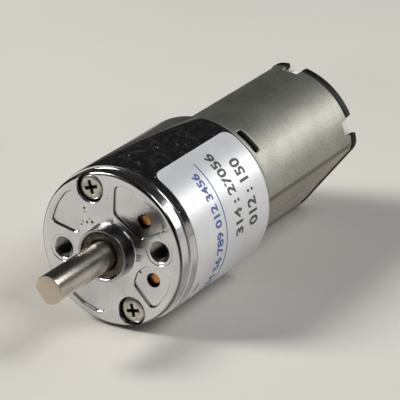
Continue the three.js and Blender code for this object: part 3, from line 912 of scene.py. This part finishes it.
def canOutline(inset, count=44, flatCount=14):
    s = canSettings
    radius, across = s["radius"] - inset, s["across"] - inset
    half, soft = math.degrees(math.asin(across / radius)), s["soft"]
    points = []
    for middle in (0, 180):
        for i in range(count + 1):
            points.append(Vector(polar(radius, middle - half + soft + 2 * (half - soft) * i / count)))
        corner = Vector(polar(radius, middle + half))
        flat = corner - Vector((math.copysign(math.radians(soft) * radius, corner.x), 0))
        start = points[-1]
        points += [curved(start, corner, flat, t) for t in (0.2, 0.4, 0.6, 0.8)]
        points += [Vector((flat.x * (1 - 2 * i / flatCount), flat.y)) for i in range(flatCount + 1)]
        corner = Vector((-corner.x, corner.y))
        start, flat = points[-1], Vector(polar(radius, middle + 180 - half + soft))
        points += [curved(start, corner, flat, t) for t in (0.2, 0.4, 0.6, 0.8)]
    return [tuple(point) for point in points]


def motorCan():
    s = canSettings
    levels = (s["front"], s["front"] + 3.4, s["front"] + 13, s["end"] - 6.5, s["end"])
    can = slabPiece("motorCan", canOutline(0), *levels)
    # the front edge is pressed round, so its rim is bevelled before the wall is made
    editAll(can)
    bpy.ops.mesh.select_all(action="DESELECT")
    leaveEdit()
    for edge in can.data.edges:
        ys = [can.data.vertices[k].co.y for k in edge.vertices]
        edge.select = max(ys) < (s["front"] + 0.01) * mm
    pick(can)
    bpy.ops.object.mode_set(mode="EDIT")
    bpy.ops.mesh.select_mode(type="EDGE")
    bpy.ops.mesh.bevel(offset=s["edge"] * mm, segments=6, affect="EDGES")
    bpy.ops.mesh.select_all(action="DESELECT")
    leaveEdit()
    for face in can.data.polygons:
        face.select = face.center.y > (s["end"] - 0.01) * mm
    pick(can)
    bpy.ops.object.mode_set(mode="EDIT")
    bpy.ops.mesh.select_mode(type="FACE")
    bpy.ops.mesh.delete(type="FACE")
    leaveEdit()
    applied(can, "SOLIDIFY", thickness=s["wall"] * mm, offset=-1.0, use_even_offset=True)
    # the crimped band round the open end
    band = flaredSlab("canBand", canOutline(0), [
        (s["end"] - 1.75, -0.05), (s["end"] - 1.6, 0.1), (s["end"] - 1.35, 0.16), (s["end"] - 0.45, 0.16),
        (s["end"] - 0.2, 0.1), (s["end"] - 0.1, -0.05)])
    hollow = slabPiece("canBandInside", canOutline(0.4), s["end"] - 3, s["end"] + 1)
    cutWith(band, [hollow])
    cutWith(can, [band], "UNION")
    cutters = []
    for side in (0, 180):
        outline = [(8, -2.2), (14, -2.2), (14, 2.2), (8, 2.2)]
        vent = slabPiece("ventCut", outline, s["front"] + 1.3, s["front"] + 2.8)
        bevelled(vent, 0.35, 3, 60)
        cutters.append(spinPiece(vent, side))
        for middle in (-32.5, 32.5):
            wide, narrow = 7.5, 6.3
            corners = [(9, -wide), (14, -wide), (14, wide), (9, wide)]
            outline = [polar(radius, middle + off) for radius, off in corners]
            notch = slabPiece("notchCut", outline, s["end"] - 3.3, s["end"] + 1)
            for vertex in notch.data.vertices:
                if vertex.co.y < s["end"] * mm:
                    here = math.atan2(vertex.co.z, vertex.co.x)
                    centre = math.radians(middle)
                    a = centre + (here - centre) * narrow / wide
                    r = math.hypot(vertex.co.x, vertex.co.z)
                    vertex.co.x, vertex.co.z = r * math.cos(a), r * math.sin(a)
            cutters.append(spinPiece(notch, side))
    cutWith(can, cutters)
    cleanMesh(can, 2e-6)
    bevelled(can, 0.11, 2, 55, False)
    spinPiece(can, s["turn"])
    dress(can, finishes["can"], "housing", "can", "motor_can", smooth=38, weighted=True)


def endCap():
    s = canSettings
    end = s["end"]
    cap = slabPiece("endCap", canOutline(s["wall"] + 0.1, 30, 10), end - 3, end - 0.4)
    boss = spunPiece("capBoss", [
        (0, end - 2), (3.6, end - 2), (3.6, end + 1.3), (3.5, end + 1.5), (3.3, end + 1.6),
        (0, end + 1.6)], 64)
    cutWith(cap, [boss], "UNION")
    cutters = [spunPiece("capBore", [
        (0, end - 4), (2.05, end - 4), (2.05, end + 1), (1.3, end + 1), (1.3, end + 3), (0, end + 3)], 48)]
    for side in (-1, 1):
        low, high = (side * 7.5 - 0.25, end - 4, -1.05), (side * 7.5 + 0.25, end + 1, 1.05)
        cutters.append(blockPiece("terminalSlot", low, high))
        corners = [(-4.5, side * 4.6), (4.5, side * 4.6), (3.6, side * 7.0), (-3.6, side * 7.0)]
        cutters.append(slabPiece("capRecess", roundedOutline(corners, 0.6), end - 1.4, end + 1))
    cutWith(cap, cutters)
    bevelled(cap, 0.15, 2, 40)
    spinPiece(cap, s["turn"])
    dress(cap, finishes["nylon"], "housing", "nylon", "end_cap", smooth=35)


terminalSettings = {"out": 7.5, "half": 0.2, "wide": 1, "tip": 4.4, "hole": 0.55, "holeAt": 2.8}


def terminalLug(index, side):
    s = terminalSettings
    end, middle = canSettings["end"], side * s["out"]
    lug = blockPiece("terminalLug" + str(index), (middle - s["half"], end - 3, -s["wide"]),
                     (middle + s["half"], end + s["tip"], s["wide"]))
    bevelled(lug, 0.08, 2, 60)
    deselectAll()
    bpy.ops.mesh.primitive_cylinder_add(vertices=32, radius=s["hole"] * mm, depth=3 * mm,
                                        rotation=(0, turn / 4, 0),
                                        location=(middle * mm, (end + s["holeAt"]) * mm, 0))
    hole = bpy.context.active_object
    placeInMesh(hole)
    cutWith(lug, [hole])
    spinPiece(lug, canSettings["turn"])
    dress(lug, finishes["brass"], "housing", "brass", "terminal_" + str(index))


def tailBearing():
    end = canSettings["end"]
    bearing = spunPiece("tailBearing", [(1.04, end - 2), (2.0, end - 2), (2.0, end + 0.9),
    (1.04, end + 0.9)], 48)
    dress(bearing, finishes["bronze"], "housing", "bronze", "tail_bearing")


def motorShaft():
    end = canSettings["end"]
    rod = spunPiece("motorShaft", [
        (0, 19), (0.9, 19), (1, 19.1), (1, end + 2.05), (0.85, end + 2.2), (0, end + 2.2)], 48)
    dress(rod, finishes["steel"], "rotor", "steel", "motor_shaft")


motorCan()
endCap()
terminalLug(1, 1)
terminalLug(2, -1)
tailBearing()
motorShaft()
print("motor outside done")


# inner pieces keep their shape and get their own finish

for entry in frame["record"]["subparts"]:
    node = frame["nodes"][entry["node"]]
    if not node.hide_render:
        node.data.materials.clear()
        node.data.materials.append(finishes[entry["material_slot"]])
print("inner pieces finished")
